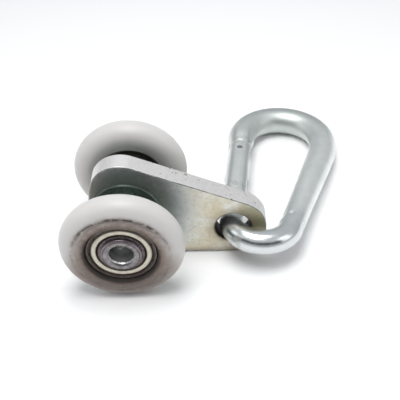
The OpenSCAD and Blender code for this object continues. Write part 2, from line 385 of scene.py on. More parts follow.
class WheelFields:
    """Regions and noises by which grease is laid on a wheel.

    The outer side faces away from the plate; low and high are below and above the axle.
    """

    def __init__(self, g):
        x, y, z = g.split(g.place)
        self.radius = g.from_axle()
        self.outer = g.step(g.math("ABSOLUTE", y), WHEEL_Y - 0.5 * MM, WHEEL_Y + 1.5 * MM)
        self.low = g.step(z, 2 * MM, -9 * MM)
        self.high = g.step(z, 2 * MM, 8 * MM)
        self.wobble = g.times(g.minus(g.noise(2.2 * MM, 6.0, 0.75), 0.5), 3.0 * MM)
        outward = g.combine(self.radius, g.times(x, 0.12), g.times(z, 0.12))
        self.streaks = g.noise(0.5 * MM, 5.0, 0.65, outward)
        self.patch = g.noise(1.3 * MM, 6.0, 0.7)


def spread_grease(g, wheel):
    """Masks of the grease that thins out from the bearing, and of its dark core."""
    edge = g.plus(wheel.radius, wheel.wobble)
    # It thins out sooner above the axle than below it
    reach = g.plus(3.9 * MM, g.times(wheel.low, 9.5 * MM))
    gone = g.minus(edge, BEARING_R + 0.3 * MM)
    dirt = g.step(g.math("DIVIDE", gone, reach, clamp=True), 1.0, 0.0)
    uneven = g.plus(g.times(wheel.patch, 0.35), g.times(wheel.streaks, 0.45))
    dirt = g.math("MULTIPLY", dirt, g.plus(0.62, uneven), clamp=True)
    core = g.step(edge, BEARING_R + 1.9 * MM, BEARING_R + 0.3 * MM)
    core = g.times(core, g.plus(0.50, g.times(wheel.streaks, 0.60)))
    core = g.times(core, g.plus(0.38, g.times(wheel.high, 0.50)))
    shade = g.plus(0.06, g.times(wheel.outer, 0.94))
    return g.times(dirt, shade), g.math("MULTIPLY", core, shade, clamp=True)


def ring_grease(g, wheel):
    """Masks of a broken line of packed grease where the face starts to round over, and of its smudge."""
    place = g.plus(wheel.radius, g.times(wheel.wobble, 0.13))
    broken = g.step(g.noise(2.4 * MM, 3.0, 0.6), 0.40, 0.56)
    ring = g.times(g.band(place, BEARING_R + 2.85 * MM, 0.58 * MM), broken)
    ring = g.times(ring, g.plus(0.25, g.times(wheel.high, 0.75)))
    smudge = g.band(place, BEARING_R + 2.5 * MM, 1.3 * MM)
    smudge = g.times(g.times(smudge, g.step(wheel.streaks, 0.30, 0.60)), wheel.high)
    return g.times(ring, wheel.outer), g.times(smudge, wheel.outer)


def nylon():
    """White nylon, clean inside the pair, with grease worked into the outer face."""
    g = Graph("white_nylon")
    wheel = WheelFields(g)
    radius, outer = wheel.radius, wheel.outer
    dirt, core = spread_grease(g, wheel)
    ring, smudge = ring_grease(g, wheel)
    flecks = g.times(g.step(g.noise(0.55 * MM, 4.0, 0.7), 0.64, 0.72), g.times(dirt, outer))
    dark_coat = g.step(radius, BEARING_R + 1.6 * MM, BEARING_R + 0.2 * MM)
    dark_coat = g.times(g.times(dark_coat, outer), g.step(wheel.patch, 0.34, 0.60))
    mouth = g.step(radius, BEARING_R + 0.5 * MM, BEARING_R + 0.1 * MM)
    packed = g.times(g.step(radius, BEARING_R + 0.95 * MM, BEARING_R + 0.35 * MM), outer)
    tread = g.times(g.step(radius, 9 * MM, 14 * MM), 0.25)
    color = g.mix(tread, (0.60, 0.59, 0.58), (0.615, 0.60, 0.59))
    soil = g.mix(wheel.low, (0.31, 0.240, 0.205), (0.180, 0.145, 0.127))
    color = g.mix(dirt, color, soil)
    color = g.mix(core, color, (0.125, 0.092, 0.080))
    color = g.layered(color, (
        (flecks, 0.60, (0.06, 0.035, 0.03)),
        (dark_coat, 0.55, (0.060, 0.042, 0.036)),
        (smudge, 0.75, (0.15, 0.105, 0.085)),
        (ring, 0.96, (0.036, 0.022, 0.018)),
        (packed, 0.80, PACKED_GREASE),
        (mouth, 0.85, PACKED_GREASE),
    ))
    rough = g.plus(0.30, g.times(dirt, 0.30))
    rough = g.plus(rough, g.times(g.noise(0.5 * MM), 0.10))
    height = g.plus(g.noise(1.8 * MM, 3.0), g.times(g.noise(0.16 * MM, 3.0), 0.25))
    height = g.minus(height, g.times(dirt, g.times(wheel.streaks, 0.8)))
    for name, value in NYLON_LIGHT.items():
        g.shader.inputs[name].default_value = value
    return g.finish(color, rough, g.bump(height, 0.03 * MM))


class PlateFields:
    """Regions and noises by which the plate's colours and relief are laid out.

    Its face is flat and looks along the axle; its cut is the sheared edge all round.
    """

    def __init__(self, g):
        _, normal_y, _ = g.split(g.coords.outputs["Normal"])
        self.facing = g.math("ABSOLUTE", normal_y)
        self.face = g.step(self.facing, 0.80, 0.97)
        self.cut = g.flip(self.face)
        self.from_hole = g.distance_from_line(HOOK_HOLE)
        self.x, y, self.z = g.split(g.place)
        self.cloud = g.noise(5 * MM, 5.0, 0.6)
        self.fine = g.noise(0.9 * MM, 6.0, 0.7)
        self.scored = g.step(g.scratches(1.6 * MM, (0.35, 1.0, 3.2)), 0.62, 0.72)
        self.shear = g.scratches(0.7 * MM, (2.6, 0.4, 2.6))
        toward_tip = g.step(self.x, 2 * MM, 14 * MM)
        pits = g.times(g.specks(1.0 * MM, 0.30), g.step(g.noise(3 * MM), 0.46, 0.60))
        self.pits = g.times(pits, g.plus(0.15, g.times(toward_tip, 0.85)))
        rear_side = g.step(y, -0.6 * MM, 1.6 * MM)
        crumbs = g.step(g.noise(0.55 * MM, 5.0, 0.7), 0.56, 0.64)
        self.crumbs = g.times(crumbs, g.times(rear_side, toward_tip))


def plate_face(g, plate):
    """Colour of the flat faces: grey-green at the axle under painted shade and a painted green reflection,
    champagne and olive toward the tip, and painted brown shade round the hole and along the bottom edge.
    """
    radius = g.from_axle()
    x, cloud = plate.x, plate.cloud
    warm = g.times(g.step(radius, 12 * MM, 21 * MM), g.step(cloud, 0.15, 0.60))
    color = g.mix(warm, (0.77, 0.80, 0.77), (0.65, 0.59, 0.45))
    # Painted shade and painted reflection: near the axle, between the plate and the front wheel, the face is
    # painted darker and greener.
    gap_painted_shade = g.times(g.step(radius, 18 * MM, 10 * MM), g.step(cloud, 0.0, 0.6))
    gap_painted_reflection = g.step(radius, 13 * MM, 8 * MM)
    heel = g.times(g.step(x, -1 * MM, -9 * MM), g.step(cloud, 0.2, 0.6))
    tarnish = g.step(plate.fine, 0.45, 0.72)
    pale = g.step(g.noise(2.2 * MM, 6.0, 0.7), 0.55, 0.75)
    olive = g.times(g.step(x, HOOK_HOLE.x - 1 * MM, HOOK_HOLE.x + 6 * MM), g.step(cloud, 0.20, 0.65))
    # Painted brown shade where the face rolls over into the hole, and along the bottom edge
    hole_rollover_shade = g.step(plate.from_hole, HOOK_HOLE_R + 3.2 * MM, HOOK_HOLE_R + 0.1 * MM)
    hole_rollover_shade = g.times(hole_rollover_shade, g.plus(0.35, cloud))
    bottom_rollover_shade = g.step(plate.z, -11.6 * MM, -13.8 * MM)
    return g.layered(color, (
        (gap_painted_shade, 0.80, (0.24, 0.27, 0.29)),
        (gap_painted_reflection, 0.70, (0.31, 0.35, 0.29)),
        (heel, 0.70, (0.40, 0.38, 0.31)),
        (tarnish, 0.35, (0.30, 0.28, 0.25)),
        (pale, 0.35, (0.72, 0.71, 0.66)),
        (plate.scored, 0.22, (0.22, 0.20, 0.18)),
        (olive, 0.65, (0.34, 0.33, 0.19)),
        (hole_rollover_shade, 0.60, (0.24, 0.19, 0.12)),
        (bottom_rollover_shade, 0.60, (0.20, 0.15, 0.11)),
    ))


def plate_edge(g, plate):
    """Colour of the sheared edge: bright, with lines across it, crumbs of dirt and dark pits."""
    color = g.mix(g.noise(0.8 * MM, 5.0, 0.7), (0.80, 0.78, 0.77), (1.0, 0.98, 0.97))
    return g.layered(color, (
        (g.step(plate.shear, 0.56, 0.70), 0.30, (0.40, 0.38, 0.37)),
        (plate.crumbs, 0.40, (0.16, 0.14, 0.13)),
        (plate.pits, 0.85, (0.09, 0.07, 0.07)),
    ))


def plate_zinc():
    """Zinc plate: satin faces, a bright sheared edge, dark corners, and painted shade inside the hook hole and
    round its mouth.
    """
    g = Graph("plate_zinc")
    plate = PlateFields(g)
    cut, shear = plate.cut, plate.shear
    color = g.mix(plate.face, plate_edge(g, plate), plate_face(g, plate))
    corner = g.times(g.step(plate.facing, 0.25, 0.50), cut)
    ragged = g.step(g.noise(1.6 * MM, 5.0, 0.7), 0.40, 0.55)
    burr = g.times(corner, g.plus(0.65, g.times(ragged, 0.35)))
    blots = g.times(g.step(plate.facing, 0.02, 0.30), g.step(g.noise(1.5 * MM, 5.0, 0.7), 0.60, 0.66))
    # Painted shade: the sides of the hook hole are painted almost black, and a thin ring of the face round it is
    # darkened.
    hole_painted_shade = g.step(plate.from_hole, HOOK_HOLE_R + 0.8 * MM, HOOK_HOLE_R + 0.25 * MM)
    hole_painted_shade = g.times(hole_painted_shade, g.plus(0.55, g.times(cut, 0.42)))
    color = g.layered(color, (
        (burr, 0.95, (0.045, 0.035, 0.03)),
        (g.times(blots, cut), 0.90, (0.05, 0.04, 0.035)),
        (hole_painted_shade, 1.0, (0.035, 0.028, 0.022)),
    ))
    rough_face = g.plus(0.32, g.plus(g.times(plate.cloud, 0.14), g.times(plate.fine, 0.12)))
    rough_edge = g.plus(0.34, g.times(shear, 0.25))
    rough = g.plus(g.times(plate.face, rough_face), g.times(cut, rough_edge))
    relief = g.plus(g.times(plate.fine, 0.6), g.times(plate.scored, -0.3))
    relief = g.minus(relief, g.times(g.times(g.plus(plate.pits, plate.crumbs), cut), 1.2))
    relief = g.plus(relief, g.times(g.times(shear, cut), 0.9))
    return g.finish(color, rough, g.bump(relief, 0.05 * MM), metallic=0.90)


def hook_zinc():
    """Zinc-plated wire: drawn lines along it, soft greenish-grey clouds, grime at the gate's ends, painted dark
    reflection bands along the gate, and a painted reflection tone under the near bend.
    """
    g = Graph("hook_zinc")
    lengthwise = g.along(HOOK_ALONG, HOOK_HINGE)
    across = g.along(HOOK_ACROSS, HOOK_HINGE)
    upright = g.along(HOOK_AXIS, HOOK_HINGE)
    lines = g.noise(0.5 * MM, 5.0, 0.6, g.combine(across, g.times(lengthwise, 0.12), upright))
    cloud = g.noise(4 * MM, 5.0, 0.6)
    # Along the near bend the wire is smoother and its colour darker and bluer.
    near_bend_tone = g.step(lengthwise, -2 * MM, -17 * MM)
    far_end = g.step(lengthwise, 18 * MM, 38 * MM)
    # Painted reflection: below the wire's middle along the near bend the colour is darker and pinker, standing for
    # the floor's reflection there.
    under = g.times(g.step(upright, 0.2 * MM, -1.8 * MM), near_bend_tone)
    gate_side = g.step(across, 6 * MM, 4 * MM)
    gate_ends = g.plus(g.band(lengthwise, GATE_END - GATE_HINGE, 3.5 * MM), g.band(lengthwise, 0.0, 3 * MM))
    grime = g.times(g.step(g.noise(1.1 * MM, 5.0, 0.65), 0.50, 0.70), gate_ends)
    # Painted reflection: dark bands run either side of the middle of the gate and of the wire beside it, as a
    # round bar shows them.
    streaks = g.plus(g.band(across, 2.1 * MM, 0.8 * MM), g.band(across, -1.8 * MM, 0.9 * MM))
    streaks = g.times(g.times(streaks, gate_side), g.step(far_end, 0.5, 0.1))
    color = g.mix(g.step(cloud, 0.25, 0.75), (0.80, 0.83, 0.81), (0.90, 0.92, 0.905))
    color = g.layered(color, (
        (near_bend_tone, 0.45, (0.50, 0.53, 0.56)),
        (far_end, 0.90, (0.50, 0.54, 0.52)),
        (g.step(lines, 0.60, 0.76), 0.30, (0.44, 0.46, 0.46)),
        (under, 0.60, (0.60, 0.58, 0.60)),
        (streaks, 0.50, (0.42, 0.45, 0.42)),
        (g.times(grime, gate_side), 0.55, (0.30, 0.32, 0.31)),
    ))
    rough = g.plus(g.times(cloud, 0.12), g.times(g.flip(near_bend_tone), 0.18))
    rough = g.plus(g.plus(rough, g.times(far_end, 0.08)), 0.17)
    relief = g.plus(g.times(cloud, 1.2), g.times(lines, 0.12))
    return g.finish(color, rough, g.bump(relief, 0.05 * MM), metallic=0.95)


def turned_steel():
    """Turned spacers and washers: fine rings about the axle, grease stains, and a rim darkened with painted shade.
    """
    g = Graph("spacer_zinc")
    radius = g.from_axle()
    _, y, _ = g.split(g.place)
    rings = g.noise(0.18 * MM, 3.0, 0.6, g.combine(radius, y, 0.0))
    grease = g.step(g.noise(1.6 * MM, 6.0, 0.65), 0.35, 0.70)
    # Painted shade: the washers' outer rim is painted darker, damping the reflection on their chamfer.
    rim = g.step(radius, WASHER_R - 0.7 * MM, WASHER_R - 0.3 * MM)
    dark = (0.08, 0.10, 0.09)
    color = g.layered((0.20, 0.25, 0.215), (
        (grease, 0.6, dark),
        (g.step(rings, 0.55, 0.75), 0.3, dark),
        (rim, 0.6, dark),
    ))
    rough = g.plus(0.26, g.times(grease, 0.22))
    return g.finish(color, rough, g.bump(g.plus(rings, grease), 0.02 * MM), metallic=0.9)


def ground_rings():
    """Bearing rings: a purple-grey ground land, dark with grease toward the shield."""
    g = Graph("bearing_steel")
    radius = g.from_axle()
    _, y, _ = g.split(g.place)
    rings = g.noise(0.16 * MM, 3.0, 0.6, g.combine(radius, y, 0.0))
    grease = g.step(g.noise(1.0 * MM, 6.0, 0.7), 0.38, 0.66)
    inner_gap = g.band(radius, INNER_R + 0.02 * MM, 0.62 * MM)
    outer_land = g.step(radius, OUTER_LAND_R, OUTER_LAND_R + 0.3 * MM)
    seam = g.step(radius, BEARING_R - 0.26 * MM, BEARING_R - 0.12 * MM)
    color = g.layered((0.21, 0.175, 0.182), (
        (grease, 0.75, (0.05, 0.036, 0.033)),
        (g.step(rings, 0.55, 0.75), 0.40, (0.06, 0.045, 0.045)),
        (inner_gap, 0.95, (0.018, 0.012, 0.009)),
        (outer_land, 0.80, (0.15, 0.118, 0.112)),
        (seam, 0.95, (0.02, 0.015, 0.012)),
    ))
    rough = g.plus(0.26, g.plus(g.times(grease, 0.22), g.times(outer_land, 0.20)))
    return g.finish(color, rough, g.bump(g.plus(rings, grease), 0.03 * MM), metallic=0.85)


def shield_film():
    """Pressed steel shield under a cream film of dried grease, rubbed through in places; on the side facing the
    plate, grease and painted shade make it almost black.
    """
    g = Graph("shield_film")
    radius = g.from_axle()
    _, y, _ = g.split(g.place)
    patch = g.noise(1.2 * MM, 6.0, 0.7)
    fleck = g.step(g.noise(0.35 * MM, 4.0, 0.7), 0.62, 0.72)
    rim = g.step(radius, SHIELD_HOLE_R + 0.23 * MM, SHIELD_HOLE_R)
    groove = g.step(radius, SHIELD_GROOVE_R - 0.15 * MM, SHIELD_GROOVE_R)
    crimp = g.times(g.band(radius, SHIELD_CRIMP_R, 0.14 * MM), g.step(patch, 0.40, 0.60))
    # Grease and painted shade: the shields facing the plate, in the narrow gap beside it, are painted almost
    # black.
    dark_coat = g.step(g.math("ABSOLUTE", y), WHEEL_Y, WHEEL_Y - 1 * MM)
    color = g.mix(g.step(patch, 0.45, 0.75), (0.82, 0.76, 0.63), (0.60, 0.54, 0.43))
    color = g.layered(color, (
        (fleck, 0.50, (0.14, 0.11, 0.07)),
        (rim, 0.70, (0.10, 0.075, 0.05)),
        (g.band(radius, SHIELD_STEP_R, 0.16 * MM), 0.50, (0.16, 0.12, 0.08)),
        (groove, 0.96, (0.022, 0.014, 0.009)),
        (crimp, 0.55, (0.24, 0.20, 0.15)),
        (dark_coat, 0.92, (0.035, 0.030, 0.022)),
    ))
    rough = g.plus(0.40, g.plus(g.times(patch, 0.20), g.times(groove, 0.30)))
    return g.finish(color, rough, g.bump(g.plus(patch, fleck), 0.03 * MM), metallic=0.15)


def plain_metal(name, color, dark, rough):
    """Small bright piece: fine grain, faint stains."""
    g = Graph(name)
    stain = g.step(g.noise(1.2 * MM, 5.0, 0.6), 0.35, 0.75)
    fine = g.noise(0.3 * MM, 4.0, 0.6)
    mixed = g.mix(g.times(stain, 0.5), color, dark)
    roughness = g.plus(rough, g.times(fine, 0.15))
    return g.finish(mixed, roughness, g.bump(fine, 0.01 * MM), metallic=0.95)


def pin_ends():
    """Peened pin ends: bright and rubbed at the hinge, dark with grime at the latch."""
    g = Graph("pin_steel")
    lengthwise = g.along(HOOK_ALONG, HOOK_HINGE)
    latch = g.step(lengthwise, 5 * MM, 10 * MM)
    fine = g.noise(0.25 * MM, 4.0, 0.6)
    bright = g.mix(g.times(fine, 0.4), (0.90, 0.91, 0.90), (0.60, 0.61, 0.60))
    grimy = g.mix(g.times(fine, 0.5), (0.40, 0.43, 0.41), (0.20, 0.22, 0.21))
    rough = g.plus(0.16, g.times(fine, 0.18))
    return g.finish(g.mix(latch, bright, grimy), rough, g.bump(fine, 0.02 * MM), metallic=0.95)


def rolled_axle():
    """Drawn tube: a grey greasy lip, and a bright bore with a band of painted shade just past its mouth."""
    g = Graph("axle_steel")
    radius = g.from_axle()
    _, y, _ = g.split(g.place)
    bore = g.step(radius, AXLE_BORE_R + 0.20 * MM, AXLE_BORE_R + 0.03 * MM)
    grease = g.step(g.noise(1.1 * MM, 6.0, 0.65), 0.35, 0.70)
    rings = g.noise(0.20 * MM, 3.0, 0.6, g.combine(radius, 0.0, 0.0))
    outside = g.step(radius, AXLE_R + 0.15 * MM, AXLE_R + 0.35 * MM)
    color = g.layered((0.28, 0.265, 0.27), (
        (grease, 0.55, (0.11, 0.095, 0.10)),
        (g.step(rings, 0.55, 0.75), 0.30, (0.12, 0.11, 0.11)),
        (outside, 0.60, (0.25, 0.18, 0.22)),
        (g.band(radius, AXLE_R + 0.08 * MM, 0.20 * MM), 0.85, (0.03, 0.025, 0.025)),
    ))
    # Painted shade: a darker band on the bore wall a little way in from the mouth, made uneven by the grease
    # noise.
    depth = g.minus(BORE_START_Y, g.math("ABSOLUTE", y))
    painted_bore_shade = g.times(g.band(depth, 2.4 * MM, 1.5 * MM), g.plus(0.55, g.times(grease, 0.40)))
    inside = g.mix(painted_bore_shade, (1.0, 1.0, 0.99), (0.62, 0.64, 0.63))
    color = g.mix(bore, color, inside)
    rough = g.plus(0.20, g.times(g.flip(bore), g.times(grease, 0.22)))
    return g.finish(color, rough, g.bump(g.plus(rings, grease), 0.03 * MM), metallic=0.92)


MATERIALS = {
    "nylon": nylon(),
    "plate_zinc": plate_zinc(),
    "hook_zinc": hook_zinc(),
    "axle_steel": rolled_axle(),
    "spacer_zinc": turned_steel(),
    "bearing_steel": ground_rings(),
    "shield_cream": shield_film(),
    "ball_steel": plain_metal("ball_steel", (0.70, 0.70, 0.72), (0.55, 0.53, 0.50), 0.06),
    "cage_brass": plain_metal("cage_brass", (0.56, 0.42, 0.20), (0.30, 0.22, 0.11), 0.28),
    "pin_steel": pin_ends(),
    "spring_steel": plain_metal("spring_steel", (0.40, 0.40, 0.42), (0.20, 0.20, 0.21), 0.25),
}


def dress(mesh, slot):
    """Gives every face of a mesh the material of a slot."""
    mesh.materials.clear()
    mesh.materials.append(MATERIALS[slot])
    for face in mesh.polygons:
        face.material_index = 0


SLOTS = {part["node"]: part["material_slot"] for part in frame["record"]["subparts"]}
for node_name, slot_name in SLOTS.items():
    dress(NODES[node_name].data, slot_name)


# ---------- meshes that stand for CAD nodes ----------

def linked(name, data):
    """New object of the scene that shows the given data."""
    obj = bpy.data.objects.new(name, data)
    bpy.context.scene.collection.objects.link(obj)
    return obj


def new_piece(name, mesh, body, slot, *nodes):
    """A mesh that rides on a body and stands for CAD nodes."""
    piece = linked(name, mesh)
    dress(mesh, slot)
    for face in mesh.polygons:
        face.use_smooth = True
    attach(piece, body)
    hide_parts(*nodes)
    return piece


def apply_modifiers(piece):
    """Bakes the modifiers of a piece into its mesh."""
    graph = bpy.context.evaluated_depsgraph_get()
    mesh = bpy.data.meshes.new_from_object(piece.evaluated_get(graph))
    piece.modifiers.clear()
    piece.data = mesh


def mesh_from(name, bm):
    """Mesh from a bmesh, with its faces turned outward."""
    bmesh.ops.recalc_face_normals(bm, faces=bm.faces)
    mesh = bpy.data.meshes.new(name)
    bm.to_mesh(mesh)
    bm.free()
    return mesh


def full_turn(sides):
    """Angles of evenly spaced points round a circle."""
    return [2 * math.pi * k / sides for k in range(sides)]


def turned(name, profile, sides=ROUND_SIDES):
    """Mesh turned about the axle from a closed profile of (radius, place along the axle)."""
    bm = bmesh.new()
    columns = []
    for a in full_turn(sides):
        column = [bm.verts.new((r * math.cos(a), y, r * math.sin(a))) for r, y in profile]
        columns.append(column)
    count = len(profile)
    for k, column in enumerate(columns):
        beside = columns[(k + 1) % sides]
        for i in range(count):
            n = (i + 1) % count
            bm.faces.new((column[i], column[n], beside[n], beside[i]))
    return mesh_from(name, bm)


def lip_profile(base):
    """Rolled lip from its foot on the bearing, over a soft crest and into the bore."""
    crest_r = AXLE_BORE_R + LIP_INSIDE
    shoulder = base + LIP_SHOULDER_H
    profile = [(AXLE_R, base), (LIP_R, base), (LIP_R, shoulder - LIP_SHOULDER_DROP)]
    quarter = [math.pi / 2 * i / LIP_STEPS for i in range(LIP_STEPS + 1)]
    for a in quarter:
        r = crest_r + LIP_CREST + (LIP_R - crest_r - LIP_CREST) * math.cos(a)
        profile.append((r, shoulder + (LIP_H - LIP_SHOULDER_H) * math.sin(a)))
    for a in quarter:
        r = crest_r - LIP_INSIDE * math.sin(a)
        profile.append((r, base + LIP_H - LIP_INSIDE * (1 - math.cos(a))))
    return profile


def tyre_profile(y):
    """Tyre section: bevelled mouths at both faces and one full round from face to face."""
    crown = WHEEL_R - WHEEL_HALF
    profile = [(BEARING_R, y - BEARING_HALF), (BEARING_R + MOUTH_BEVEL, y - WHEEL_HALF)]
    for i in range(TYRE_STEPS + 1):
        a = math.pi * (i / TYRE_STEPS - 0.5)
        profile.append((crown + WHEEL_HALF * math.cos(a), y + WHEEL_HALF * math.sin(a)))
    return profile + [(BEARING_R + MOUTH_BEVEL, y + WHEEL_HALF), (BEARING_R, y + BEARING_HALF)]


def build_tyres():
    """Both nylon tyres, turned finely enough to read as round."""
    for end, y in (("front", -WHEEL_Y), ("rear", WHEEL_Y)):
        mesh = turned("nylon_" + end, tyre_profile(y), TYRE_SIDES)
        new_piece("nylon_" + end, mesh, end + "_wheel", "nylon", "tyre_" + end)


def build_axle():
    """Hollow axle with a rolled lip at each end."""
    lip = lip_profile(AXLE_HALF - LIP_H)
    profile = lip + [(r, -y) for r, y in reversed(lip)]
    new_piece("axle_rolled", turned("axle_rolled", profile), "hanger", "axle_steel", "axle_tube")


def in_hook(u, v, w=0.0):
    """Point given in the hook's own frame: across, along and out of its plane."""
    return HOOK_FOOT + u * HOOK_ACROSS + v * HOOK_ALONG + w * HOOK_AXIS


def ease(value, low, high):
    """0 at low, 1 at high, smooth between."""
    t = min(max((value - low) / (high - low), 0.0), 1.0)
    return t * t * (3 - 2 * t)


def arc(centre, radius, start, end):
    """Stations of an arc in the hook's plane, as (u, v, heading angle)."""
    count = max(2, math.ceil(abs(end - start) * radius / WIRE_STEP))
    stations = []
    for i in range(count + 1):
        a = start + (end - start) * i / count
        u = centre[0] + radius * math.cos(a)
        v = centre[1] + radius * math.sin(a)
        stations.append((u, v, a + math.pi / 2))
    return stations


def straight(start, end):
    """Stations of a straight stretch in the hook's plane."""
    du, dv = end[0] - start[0], end[1] - start[1]
    count = max(2, math.ceil(math.hypot(du, dv) / WIRE_STEP))
    heading = math.atan2(dv, du)
    return [(start[0] + du * i / count, start[1] + dv * i / count, heading) for i in range(count + 1)]


def hook_centreline():
    """Stations from the hinge leg round both bends to the nose, and where the long side begins."""
    near = arc((BEND_NEAR, 0.0), BEND_NEAR, math.pi, 2 * math.pi - BACK_LEAN)
    far_low = arc((BEND_FAR, BACK_RISE), BEND_FAR, -BACK_LEAN, 0.0)
    runs = [
        straight((0.0, LEG_END), (0.0, 0.0)),
        near,
        straight(near[-1][:2], far_low[0][:2]),
        far_low,
        straight((2 * BEND_FAR, BACK_RISE), (2 * BEND_FAR, BEND_GAP)),
        arc((BEND_FAR, BEND_GAP), BEND_FAR, 0.0, math.pi),
        straight((0.0, BEND_GAP), (0.0, NOSE_END)),
    ]
    stations = runs[0][:1]
    for run in runs:
        stations += run[1:]
    back_start = len(runs[0]) + len(near) - 2
    return stations, back_start


def skin(bm, rings):
    """Faces between neighbouring rings of vertices, and over both ends."""
    sides = len(rings[0])
    for a, b in zip(rings, rings[1:]):
        for k in range(sides):
            n = (k + 1) % sides
            bm.faces.new((a[k], a[n], b[n], b[k]))
    bm.faces.new(rings[0][::-1])
    bm.faces.new(rings[-1])


def wire_dents(back_at, end_at):
    """Marks of the die: place along the wire, angle round it, depth (a bulge below 0), reach."""
    return (
        (back_at + 3.0 * MM, math.radians(76), 0.55 * MM, 0.62 * MM),
        (back_at + 2.9 * MM, math.radians(14), 0.34 * MM, 1.00 * MM),
        (back_at + 1.0 * MM, math.radians(14), -0.15 * MM, 1.00 * MM),
        (back_at + 4.4 * MM, math.radians(50), 0.12 * MM, 1.40 * MM),
        (end_at - 2.0 * MM, math.radians(60), 0.14 * MM, 0.70 * MM),
        (end_at - 1.0 * MM, math.radians(125), 0.16 * MM, 0.80 * MM),
    )


def dented(radius, at, turn, dents):
    """Radius of one point of the wire's skin, at a place along it and an angle round it."""
    out = radius
    for place, angle, depth, reach in dents:
        gap = math.remainder(turn - angle, 2 * math.pi) * radius
        out -= depth * math.exp(-((at - place) ** 2 + gap ** 2) / reach ** 2)
    return out


def hook_wire():
    """The bent wire as one smooth sweep, with the dents that the forming die leaves."""
    stations, back_start = hook_centreline()
    nose_start = len(stations) - 1 - math.ceil((BEND_GAP - NOSE_END) / WIRE_STEP)
    lengths = [0.0]
    for a, b in zip(stations, stations[1:]):
        lengths.append(lengths[-1] + math.hypot(b[0] - a[0], b[1] - a[1]))
    back_at, nose_at, end_at = lengths[back_start], lengths[nose_start], lengths[-1]
    back_end = back_at + math.hypot(BEND_FAR - BEND_NEAR, BACK_RISE)
    dents = wire_dents(back_at, end_at)
    bm = bmesh.new()
    rings = []
    for (u, v, heading), at in zip(stations, lengths):
        radius = WIRE_NEAR_R + (WIRE_FAR_R - WIRE_NEAR_R) * ease(at, back_at, back_end)
        radius += (NOSE_R - WIRE_FAR_R) * ease(at, nose_at, end_at)
        radius -= WIRE_END_DROP * (1 - min(1.0, min(at, end_at - at) / WIRE_END_ROUND)) ** 2
        ring = []
        for turn in full_turn(WIRE_SIDES):
            out = dented(radius, at, turn, dents)
            across = out * math.cos(turn)
            du, dv = -math.sin(heading) * across, math.cos(heading) * across
            ring.append(bm.verts.new(in_hook(u + du, v + dv, out * math.sin(turn))))
        rings.append(ring)
    skin(bm, rings)
    return mesh_from("hook_wire", bm)


def tongues():
    """The CAD hook's two flat tongues, cut out of its mesh between the wire's ends."""
    bm = bmesh.new()
    bm.from_mesh(NODES["hook_body"].data)
    low, high = in_hook(0, LEG_END - TONGUE_MARGIN), in_hook(0, NOSE_END + TONGUE_MARGIN)
    for place, kept_side in ((low, HOOK_ALONG), (high, -HOOK_ALONG)):
        geometry = bm.verts[:] + bm.edges[:] + bm.faces[:]
        bmesh.ops.bisect_plane(bm, geom=geometry, plane_co=place, plane_no=kept_side, clear_inner=True)
    gone = [v for v in bm.verts if (v.co - HOOK_FOOT).dot(HOOK_ACROSS) > TONGUE_SIDE]
    bmesh.ops.delete(bm, geom=gone, context="VERTS")
    bmesh.ops.remove_doubles(bm, verts=bm.verts, dist=2 * WELD)
    bmesh.ops.holes_fill(bm, edges=[e for e in bm.edges if e.is_boundary])
    mesh = bpy.data.meshes.new("hook_tongues")
    bm.to_mesh(mesh)
    bm.free()
    return mesh


def softened(node, width):
    """Replaces a CAD node by its own shape with sharp edges rounded, as tumbled metal has them."""
    bodies = frame["record"]["behaviour"]["bodies"]
    body = next(name for name, members in bodies.items() if node in members)
    mesh = NODES[node].data.copy()
    bm = bmesh.new()
    bm.from_mesh(mesh)
    bmesh.ops.remove_doubles(bm, verts=bm.verts, dist=WELD)
    bmesh.ops.dissolve_limit(bm, angle_limit=FLAT, verts=bm.verts, edges=bm.edges)
    bm.to_mesh(mesh)
    bm.free()
    piece = new_piece(node + "_soft", mesh, body, SLOTS[node], node)
    bevel = piece.modifiers.new("bevel", "BEVEL")
    bevel.width = width
    bevel.segments = BEVEL_STEPS
    bevel.limit_method = "ANGLE"
    bevel.angle_limit = SHARP
    bevel.harden_normals = False
    smooth = piece.modifiers.new("normals", "WEIGHTED_NORMAL")
    smooth.keep_sharp = True
    apply_modifiers(piece)


def swept_rod(name, stations, sides=ROUND_SIDES):
    """Round rod along the hook's length from (station, radius) pairs, in the hook's frame."""
    bm = bmesh.new()
    rings = []
    for v, radius in stations:
        ring = [in_hook(radius * math.cos(a), v, radius * math.sin(a)) for a in full_turn(sides)]
        rings.append([bm.verts.new(point) for point in ring])
    skin(bm, rings)
    return linked(name, mesh_from(name, bm))


def upright_prism(name, outline, low, high):
    """Prism over an outline of (across, along) points, from low to high out of the hook's plane."""
    bm = bmesh.new()
    rings = [[bm.verts.new(in_hook(u, v, w)) for u, v in outline] for w in (low, high)]
    skin(bm, rings)
    return linked(name, mesh_from(name, bm))


def cut(obj, tools, operation):
    """Applies one boolean after another to obj and removes the tools."""
    for tool in tools:
        modifier = obj.modifiers.new("cut", "BOOLEAN")
        modifier.operation = operation
        modifier.object = tool
        modifier.solver = "EXACT"
        apply_modifiers(obj)
        bpy.data.objects.remove(tool)


def welded(mesh):
    """Joins vertices that booleans leave on top of each other, and drops slivers without area."""
    bm = bmesh.new()
    bm.from_mesh(mesh)
    bmesh.ops.remove_doubles(bm, verts=bm.verts, dist=WELD)
    bmesh.ops.dissolve_degenerate(bm, dist=WELD, edges=bm.edges)
    bm.to_mesh(mesh)
    bm.free()
    return mesh


def circle_points(along, radius, start, end, steps):
    """Points of an arc in the hook's plane about a station on the gate's middle line."""
    angles = [start + (end - start) * i / steps for i in range(steps + 1)]
    return [(radius * math.cos(a), along + radius * math.sin(a)) for a in angles]


